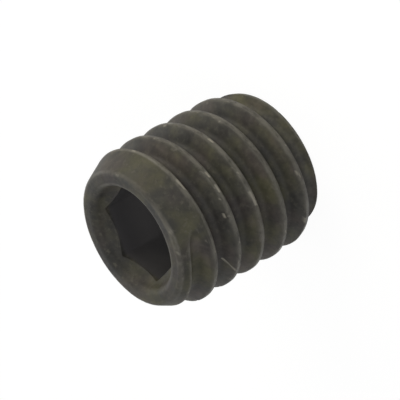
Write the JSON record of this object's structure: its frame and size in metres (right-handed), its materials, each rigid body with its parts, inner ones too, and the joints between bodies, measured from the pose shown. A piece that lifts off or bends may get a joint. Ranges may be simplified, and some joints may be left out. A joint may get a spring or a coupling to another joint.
{
  "type": "hex socket set screw",
  "caption": "Headless set screw with a coarse thread over its whole length, a recessed hex socket in one end and a flat point at the other.",
  "frame": {"origin": "centre of the point end's flat face, on the thread's axis; the screw stands on that face", "axes": "+Z along the thread's axis, from the point end to the socket end; two corners of the hex socket lie on +X and -X"},
  "size_m": [0.0038, 0.0038, 0.0041],
  "materials": {
    "black_oxide_steel": "black oxide on alloy steel, matt and dusty, worn paler along the edges"
  },
  "bodies": {
    "root": {"set_screw": "black_oxide_steel"}
  },
  "joints": []
}
